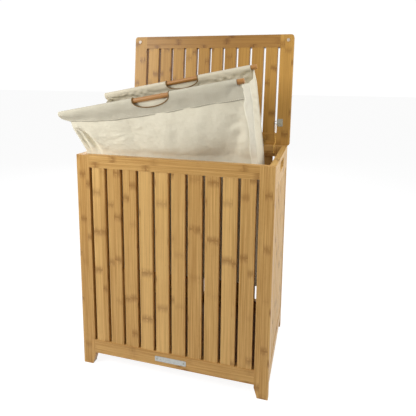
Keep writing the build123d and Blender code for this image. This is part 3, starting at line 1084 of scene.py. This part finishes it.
@dataclass(frozen=True)
class Fold:
    """An upright fold: a bell across a panel whose centre leans and whose height grows on the way up."""

    height: float
    centre: float
    width: float
    lean: float = 0.0
    growth: float = 0.0

    def out(self, t: Array, v: Array) -> Array:
        """How far the cloth stands out at shares of the width and of the free height."""
        return (self.height + self.growth * v) * hill(t, self.centre + self.lean * v, self.width)


@dataclass(frozen=True)
class Star:
    """Creases that run out of one spot of the bag."""

    middle_t: float
    middle_v: float
    rays: int
    height: float = 0.0012
    radius: float = 0.018
    panel_width: float = 0.47
    panel_height: float = 0.20

    def out(self, t: Array, v: Array) -> Array:
        """How far the cloth stands out: height * cos(rays * angle) under a bell that is nought at the spot.

        Args:
            t: Share of the width, from left to right.
            v: Share of the free height, from the rim to the seam.

        Returns:
            The height of the creases.
        """
        across, up = (t - self.middle_t) * self.panel_width, (v - self.middle_v) * self.panel_height
        away = np.hypot(across, up)
        angle = np.arctan2(up, across)
        ray = np.cos(self.rays * angle + 0.9 + 14 * away) + 0.4 * np.cos((self.rays + 4) * angle - 1.1)
        return self.height * ray * (away / self.radius) * np.exp(1 - away / self.radius)


@dataclass(frozen=True)
class Gusset:
    """An end of the bag: its top edge dips, and bells and ripples fold its spare cloth inwards.

    Its side is 1 at the right and -1 at the left. The folds start at one share of the free height
    and are full a given run above it.
    """

    side: int
    dip: float
    bells: tuple[Fold, ...]
    ripple: Triple
    start: float
    run: float
    wave: float = 0.0022

    def out(self, t: Array, free: Array) -> Array:
        """How far each point moves.

        Args:
            t: Share of the width, from front to rear.
            free: Share of the free height.

        Returns:
            Array (..., 3).
        """
        arch = 4 * t * (1 - t)
        climb, bend, turns = self.ripple
        waves = self.wave * np.sin(climb * free + bend * np.sin(turns * t)) * arch
        fold = (sum(bell.out(t, free) for bell in self.bells) + waves) * smooth_step((free - self.start) / self.run)
        return np.stack([self.side * fold, 0 * fold, -self.dip * arch * smooth_step((free - 0.55) / 0.6)], -1)


@dataclass(frozen=True)
class Tape:
    """Binding tape of one corner: the panel that it starts, its widths at rim and hem, and its outside."""

    name: str
    panel: int
    widths: tuple[float, float]
    out: Triple


@dataclass
class LinerBag:
    """Canvas bag that hangs from the two bars, with gusseted ends and bound corners.

    Its corners are in the order front left, front right, rear right and rear left.
    """

    cloth: float = 0.0012
    proud: float = 0.0014
    floor_z: float = 0.2785
    rim_z: float = 0.590
    hem_depth: float = 0.041
    tucked: float = 0.007
    spans: tuple[float, ...] = (-0.2365, 0.235, 0.214, -0.226)
    floor_corners: tuple[tuple[float, float], ...] = (
        (-0.2135, -0.1335), (0.2135, -0.1335), (0.2135, 0.1225), (-0.2135, 0.1225),
    )
    rim_corners: tuple[tuple[float, float], ...] = (
        (-0.2365, -0.1405), (0.2085, -0.1330), (0.187, 0.1060), (-0.224, 0.1060),
    )
    low_rows: int = 30
    high_rows: int = 46
    hem_rows: int = 9
    tape_columns: int = 7
    panel_columns: tuple[int, ...] = (130, 64, 130, 64)
    easings: int = 5
    upright: tuple[Fold, ...] = (
        Fold(0.0075, 0.575, 0.20, 0.05), Fold(-0.0065, 0.845, 0.055, 0.11),
        Fold(0.0028, 0.285, 0.045, -0.05), Fold(-0.0030, 0.365, 0.035, -0.05),
        Fold(0.0024, 0.505, 0.030, 0.05), Fold(-0.0022, 0.560, 0.022, 0.05),
        Fold(0.0020, 0.675, 0.030, 0.05), Fold(0.0034, 0.955, 0.022),
        Fold(-0.0080, 0.034, 0.009, -0.018), Fold(-0.0150, 0.092, 0.016, -0.062, 0.006),
        Fold(0.0060, 0.062, 0.010, -0.045), Fold(0.0040, 0.125, 0.022, -0.05),
        Fold(-0.0050, 0.060, 0.005, -0.050), Fold(-0.0060, 0.135, 0.006, -0.115),
    )
    stars: tuple[Star, ...] = (Star(0.315, 0.62, 7), Star(0.60, 0.80, 5, height=0.00072))
    right_end: Gusset = Gusset(1, 0.030, (Fold(-0.024, 0.50, 0.24), Fold(0.004, 0.80, 0.07)), (38, 6, 9), 0, 0.625)
    left_end: Gusset = Gusset(
        -1, 0.026, (Fold(-0.013, 0.14, 0.05), Fold(0.005, 0.31, 0.07), Fold(-0.012, 0.60, 0.16)), (34, 5, 8), -0.35, 0.4
    )
    tapes: tuple[Tape, ...] = (
        Tape("right_front_tape", 1, (0.010, 0.0135), (0.15, -1, 0.1)),
        Tape("right_rear_tape", 2, (0.006, 0.009), (1, 0.3, 0.1)),
        Tape("left_rear_tape", 3, (0.008, 0.008), (-0.3, 1, 0.1)),
        Tape("left_front_tape", 0, (0.008, 0.006), (-1, 0.1, 0.1)),
    )
    front: Bar = field(init=False)
    rear: Bar = field(init=False)
    front_hang: tuple[Array, Array] = field(init=False)
    rear_hang: tuple[Array, Array] = field(init=False)

    def __post_init__(self) -> None:
        """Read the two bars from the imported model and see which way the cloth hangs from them."""
        self.front, self.rear = bar_of("front_rod"), bar_of("rear_rod")
        self.front_hang = self.hang(self.front, self.rim_corners[0][1], -1)
        self.rear_hang = self.hang(self.rear, self.rim_corners[2][1], 1)

    def hang(self, bar: Bar, y: float, outward_sign: float) -> tuple[Array, Array]:
        """Which way the cloth hangs from a bar towards the rim, square to the bar.

        Args:
            bar: The bar.
            y: Where the cloth passes the rim.
            outward_sign: -1 for the front, 1 for the rear.

        Returns:
            The downward direction and the outward one.
        """
        down = np.array([bar.middle[0], y, self.rim_z]) - bar.middle
        down = unit(down - (down @ bar.along) * bar.along)
        outward = np.cross(bar.along, down)
        return down, outward * np.sign(outward[1] * outward_sign)

    def corner(self, bar: Bar, down: Array, span: float, rim: Sequence[float], floor: Sequence[float]) -> Array:
        """One upright corner line of the bag from its floor to inside the hem.

        Straight runs join the floor corner, the rim, the hem's seam and a point just under the bar.

        Args:
            bar: The bar that the corner hangs from.
            down: Which way the cloth hangs from the bar.
            span: Distance to the right of the bar's middle.
            rim: X and Y at the rim.
            floor: X and Y at the floor.

        Returns:
            Array (rows, 3).
        """
        top = bar.at(np.array(span))
        seam = top + self.hem_depth * down
        at_rim = (*rim, self.rim_z)
        low = between((*floor, self.floor_z), at_rim, np.linspace(0, 1, self.low_rows))
        high = between(at_rim, seam, np.linspace(0, 1, self.high_rows + 1)[1:])
        hem = between(seam, top + self.tucked * down, np.linspace(0, 1, self.hem_rows + 1)[1:])
        return np.concatenate([low, high, hem], 0)

    def folds(self, t: Array, v: Array) -> Array:
        """Folds of the front and rear: upright bells, stars and ripples that fade at seam and floor.

        Two low bells below them draw the cloth in at the rim.

        Args:
            t: Share of the width, from left to right.
            v: Share of the free height, from the rim to the seam.

        Returns:
            How far the cloth stands out.
        """
        loose = np.sin(math.pi * np.clip(v, 0, 1)) ** 0.8
        ripple = np.sin(23 * v + 5 * np.sin(17 * t + 3 * v)) + 0.5 * np.sin(51 * v - 40 * t + 4 * np.sin(7 * v))
        crumple = 0.0021 * ripple * hill(t, 0.905, 0.042)
        out = sum(each.out(t, v) for each in self.upright + self.stars)
        low_sag = -0.021 * hill(t, 0.81, 0.15) * hill(v, -0.14, 0.38)
        return (out + crumple) * loose + (low_sag - 0.004 * hill(t, 0.45, 0.2) * hill(v, -0.05, 0.2))

    def net(self) -> tuple[Array, Array, list[int]]:
        """The whole bag as rings of points: row 0 at the floor, the last inside the hems.

        Each ring runs along the front, the right end, the rear and the left end. A panel's points
        lie straight between its two corner lines and are then moved by folds, sag and gusset pleats.
        At last every inner point is eased halfway towards the mean of its four neighbours, a few times.

        Returns:
            Points (rows, columns, 3), cloth coordinates (rows, columns, 2) and the columns where
            the panels start.
        """
        hung = ((self.front, self.front_hang[0]),) * 2 + ((self.rear, self.rear_hang[0]),) * 2
        corners = [
            self.corner(bar, down, span, rim, floor)
            for (bar, down), span, rim, floor in zip(hung, self.spans, self.rim_corners, self.floor_corners)
        ]
        row = np.arange(len(corners[0]))[:, None]
        free = (row - self.low_rows + 1) / self.high_rows
        in_hem = row >= self.low_rows + self.high_rows
        panels = []
        for k, columns in enumerate(self.panel_columns):
            t = np.linspace(0, 1, columns, endpoint=False)[None]
            if k in (0, 2):
                t = t - 0.09 * np.sin(2 * math.pi * t)
            flat = (1 - t[..., None]) * corners[k][:, None] + t[..., None] * corners[(k + 1) % 4][:, None]
            if k == 0:
                swell = 0.004 * np.sin(math.pi * t) * hill(free, 0.0, 0.25)
                moved = (np.where(in_hem, 0, self.folds(t, free)) + swell)[..., None] * self.front_hang[1]
            elif k == 1:
                moved = self.right_end.out(t, free)
            elif k == 2:
                moved = np.where(in_hem, 0, 0.9 * self.folds(1 - t, free))[..., None] * self.rear_hang[1]
            else:
                moved = self.left_end.out(1 - t, free)
            panels.append(flat + moved)
        points = np.concatenate(panels, 1)
        for _ in range(self.easings):
            mean = (np.roll(points, 1, 1)[1:-1] + np.roll(points, -1, 1)[1:-1] + points[2:] + points[:-2]) / 4
            points = np.concatenate([points[:1], 0.5 * points[1:-1] + 0.5 * mean, points[-1:]], 0)
        around = np.linalg.norm(np.roll(points, -1, 1) - points, axis=-1).mean(0)
        along = np.concatenate([[0], np.cumsum(around)[:-1]])
        up = np.concatenate([[0], np.cumsum(np.linalg.norm(np.diff(points, axis=0), axis=-1).mean(1))])
        uv = np.stack(np.broadcast_arrays(along[None], up[:, None]), -1)
        return points, uv, list(np.cumsum((0, *self.panel_columns[:-1])))

    def with_floor(self, points: Array, uv: Array) -> tuple[Array, Array]:
        """Add the bag's floor: the lowest ring drawn in towards its middle, sagging a little.

        Args:
            points: Array (rows, columns, 3).
            uv: Array (rows, columns, 2) of cloth coordinates.

        Returns:
            Both with the floor's rings below them.
        """
        ring, middle = points[0], points[0].mean(0)
        share = np.array([0.0, 0.15, 0.4, 0.7, 0.97])[:, None, None]
        sag = 0.0012 * np.sin(math.pi * share) * np.array([0, 0, 1.0])
        inner = middle + share * (ring - middle) - sag
        flat_uv = uv[0][None] - np.array([0, 0.1]) * (1 - share)
        return np.concatenate([inner, points], 0), np.concatenate([flat_uv, uv], 0)

    def hems(self) -> tuple[Hem, Hem]:
        """The two hem pockets: the rear one shorter at the left, straight at the right and more rumpled.

        Returns:
            The front hem and the rear one.
        """
        rear = {"left_reach": 0.238, "handle_middle": 0.010, "flare": 0.0, "rumple": 0.0017}
        return (
            Hem("liner_front_hem", self.front, *self.front_hang),
            Hem("liner_rear_hem", self.rear, *self.rear_hang, **rear),
        )

    def sewn(self, name: str, points: Array, uv: Array, closed: bool, finish: Material) -> Piece:
        """Make a piece of canvas from a grid of points and bake its place into its mesh.

        Args:
            name: The piece's name.
            points: Array (rows, columns, 3).
            uv: Array (rows, columns, 2) of cloth coordinates.
            closed: Whether its rows are closed rings.
            finish: Its canvas.

        Returns:
            The piece.
        """
        piece = new_piece(name, points, grid_faces(*points.shape[:2], False, closed), finish, uv, self.cloth)
        normal = unit(np.cross(self.front.along, self.rear.middle - self.front.middle))
        middle = (self.front.middle + self.rear.middle) / 2
        tuple(middle - 0.200 * normal)
        tuple(middle - 0.050 * normal)
        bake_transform(piece)
        return piece

    def tape(self, tape: Tape, points: Array, uv: Array, edge: int, finish: Material) -> Piece:
        """Binding tape along one corner: a strip of the bag's own surface set a little proud of it.

        Args:
            tape: Its measures.
            points: The bag's points.
            uv: Its cloth coordinates.
            edge: The corner's column.
            finish: The tape's canvas.

        Returns:
            The tape.
        """
        rows, columns = points.shape[:2]
        row = np.arange(rows)[:, None]
        free = np.clip((row - self.low_rows + 1) / self.high_rows, 0, 1)
        width = tape.widths[0] + (tape.widths[1] - tape.widths[0]) * free
        step = np.linalg.norm(points[:, edge % columns] - points[:, (edge - 1) % columns], axis=-1)[:, None]
        place = edge - width / step * np.linspace(1, 0, self.tape_columns)[None]
        low = np.floor(place).astype(int)
        share = (place - low)[..., None]
        strip, flat = (
            (1 - share) * whole[row, low % columns] + share * whole[row, (low + 1) % columns] for whole in (points, uv)
        )
        return self.sewn(tape.name, strip[2:] + self.proud * np.array(tape.out), flat[2:], False, finish)

    def build(
        self, canvas: Material, hem_canvases: Sequence[Material], tape_canvas: Material, binding: Material
    ) -> None:
        """Build the bag, its hems, its corner tapes and the handles' bindings.

        Args:
            canvas: Canvas of the bag.
            hem_canvases: Darker copies of the bag's canvas, painted shade, with stitches for the front hem and without
                for the rear one.
            tape_canvas: Canvas of the tapes, a lighter copy of the bag's: painted light.
            binding: Binding of the handle cuts.
        """
        points, uv, starts = self.net()
        bag = self.sewn("liner_canvas_bag", *self.with_floor(points, uv), True, canvas)
        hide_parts("liner_bag")
        pieces = []
        for hem, finish in zip(self.hems(), hem_canvases):
            pieces += [hem.build(finish), hem.binding(binding)]
        pieces += [self.tape(tape, points, uv, starts[tape.panel], tape_canvas) for tape in self.tapes]


# ---------------- dress
def dress(nodes: Sequence[str], material: Material) -> None:
    """Give CAD nodes one material.

    Args:
        nodes: Their names.
        material: The material.
    """
    for name in nodes:
        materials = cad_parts[name].data.materials
        materials.clear()
        materials.append(material)
        LOG.info("%s: %s", name, material.name)


SIDE_TONE = {"light": (218, 177, 108), "dark": (192, 148, 80)}
# Painted shade: the floor board inside takes a darker copy of the bamboo, for the dark low in the hamper.
FLOOR_SHADED_TONE = {"light": (150, 104, 60), "dark": (112, 74, 38)}
# Painted shade: the lid takes a darker copy of the bamboo, and its front rail, at the top of the open lid, a darker one
# still.
LID_SHADED_TONE = {"light": (194, 149, 76), "dark": (158, 114, 48), "joint": (112, 70, 24)}
LID_FRONT_SHADED_TONE = {"light": (170, 126, 64), "dark": (132, 91, 38), "joint": (100, 60, 20)}


@dataclass
class Woodwork:
    """Bamboo of the body and the lid, each board with its own grain."""

    slat_pitch: float = 0.043
    slats_start: float = -0.2150

    def build(self) -> None:
        """Dress every wooden node from a table of nodes, finish, grain, seed, strip width and the rest."""
        left, right = (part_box(f"front_{side}_leg")[0][0] for side in ("left", "right"))
        slats = {"board_start": self.slats_start, "board_pitch": self.slat_pitch}
        numbers = [f"slat_{n:02d}" for n in range(1, 11)]
        ends = [f"{side}_{place}_rail" for place in ("top", "bottom") for side in ("left", "right")]
        cross = [f"{side}_{place}_rail" for side in ("front", "rear") for place in ("top", "bottom")]
        boards = (
            ("front_left_leg rear_left_leg", "left_stiles", Grain.UPRIGHT, 3, 0.0175, {"board_start": left}),
            ("front_right_leg rear_right_leg", "right_stiles", Grain.UPRIGHT, 5, 0.0175, {"board_start": right}),
            (" ".join(cross), "cross_rails", Grain.ACROSS, 8, 0.017, {}),
            (" ".join(ends), "side_rails", Grain.DEEP, 11, 0.02, SIDE_TONE),
            (" ".join(["rear_slats"] + ["front_" + n for n in numbers]), "long_slats", Grain.UPRIGHT, 2, 0.029, slats),
            ("left_side_slats right_side_slats", "side_slats", Grain.UPRIGHT_SIDE, 14, 0.0195, SIDE_TONE),
            # The floor board below takes the darker floor tone: painted shade.
            ("floor_panel", "floor_board", Grain.FLAT, 17, 0.02, FLOOR_SHADED_TONE),
            ("floor_cleats rod_rests", "inner_blocks", Grain.ACROSS, 19, 0.02, {}),
            # The lid's rails and slats below take the darker lid tones: painted shade.
            ("lid_front_rail", "lid_front_rail", Grain.LID_ACROSS, 23, 0.019, LID_FRONT_SHADED_TONE),
            ("lid_rear_rail", "lid_rear_rail", Grain.LID_ACROSS, 27, 0.019, LID_SHADED_TONE),
            ("lid_left_rail lid_right_rail", "lid_end_rails", Grain.LID_DEEP, 29, 0.02, LID_SHADED_TONE),
            (" ".join("lid_" + n for n in numbers), "lid_slats", Grain.LID_DEEP, 31, 0.0195, slats | LID_SHADED_TONE),
        )
        for nodes, name, grain, seed, strip, more in boards:
            dress(nodes.split(), BambooFinish(name, grain, seed=seed, strip_width=strip, **more).material())
        dress(["front_rod", "rear_rod"], DowelFinish().material())


@dataclass
class Fittings:
    """Hinges, screws, stay fittings, bumpers and the bare name plate."""

    hinge: MetalFinish = MetalFinish("hinge_brass_plate", (172, 136, 74), (112, 84, 44), 0.34)
    brass: MetalFinish = MetalFinish("bright_brass", (240, 204, 118), (190, 146, 76), 0.36)
    steel: MetalFinish = MetalFinish("plated_steel", (158, 155, 142), (98, 94, 80), 0.3)
    plate: MetalFinish = MetalFinish("brushed_plate", (186, 188, 184), (160, 162, 158), 0.42, 0.75, 0.03, 0.0003)

    def build(self) -> Material:
        """Dress every metal and plastic node.

        Returns:
            The brass of the chain.
        """
        leaves = [f"{side}_hinge_{part}_leaf" for part in ("body", "lid") for side in ("left", "right")]
        screws = ["hinge_pins", "hinge_body_screws", "lid_screws", "name_plate_pins", "lid_stay_bracket"]
        dress(leaves, self.hinge.material())
        dress(screws, self.steel.material())
        dress(["name_plate"], self.plate.material())
        dress(["lid_bumpers"], BumperFinish().material())
        chain_brass = self.brass.material()
        dress(["stay_screw_eye"], chain_brass)
        return chain_brass


def main() -> None:
    """Build the studio, the chain, the liner and the finishes in order."""
    logging.basicConfig(level=logging.INFO, format="%(message)s")
    Studio().build()
    for group in (bamboo_group, weave_group, brush_group):
        LOG.info("shared group: %s", group().name)
    StayChain().build(Fittings().build())
    canvas, hem, rear_hem, tape, binding = (
        finish.material()
        for finish in (
            CanvasFinish("liner_canvas"),
            # The two hems take darker copies of the bag's canvas: painted shade on the doubled cloth.
            CanvasFinish("hem_canvas", (214, 208, 190), (184, 176, 152), crease=0.0014, stitch_row=0.003),
            CanvasFinish("rear_hem_canvas", (228, 219, 197), (200, 190, 165), crease=0.0016),
            # The tapes take a lighter copy of the bag's canvas: painted light.
            CanvasFinish("tape_canvas", (248, 243, 226), (230, 222, 198), crease=0.001, crease_size=0.012),
            CanvasFinish("handle_binding", (150, 120, 74), (104, 78, 44), crease=0.0006, crease_size=0.008),
        )
    )
    LinerBag().build(canvas, (hem, rear_hem), tape, binding)
    Woodwork().build()


if __name__ == "__main__":
    main()
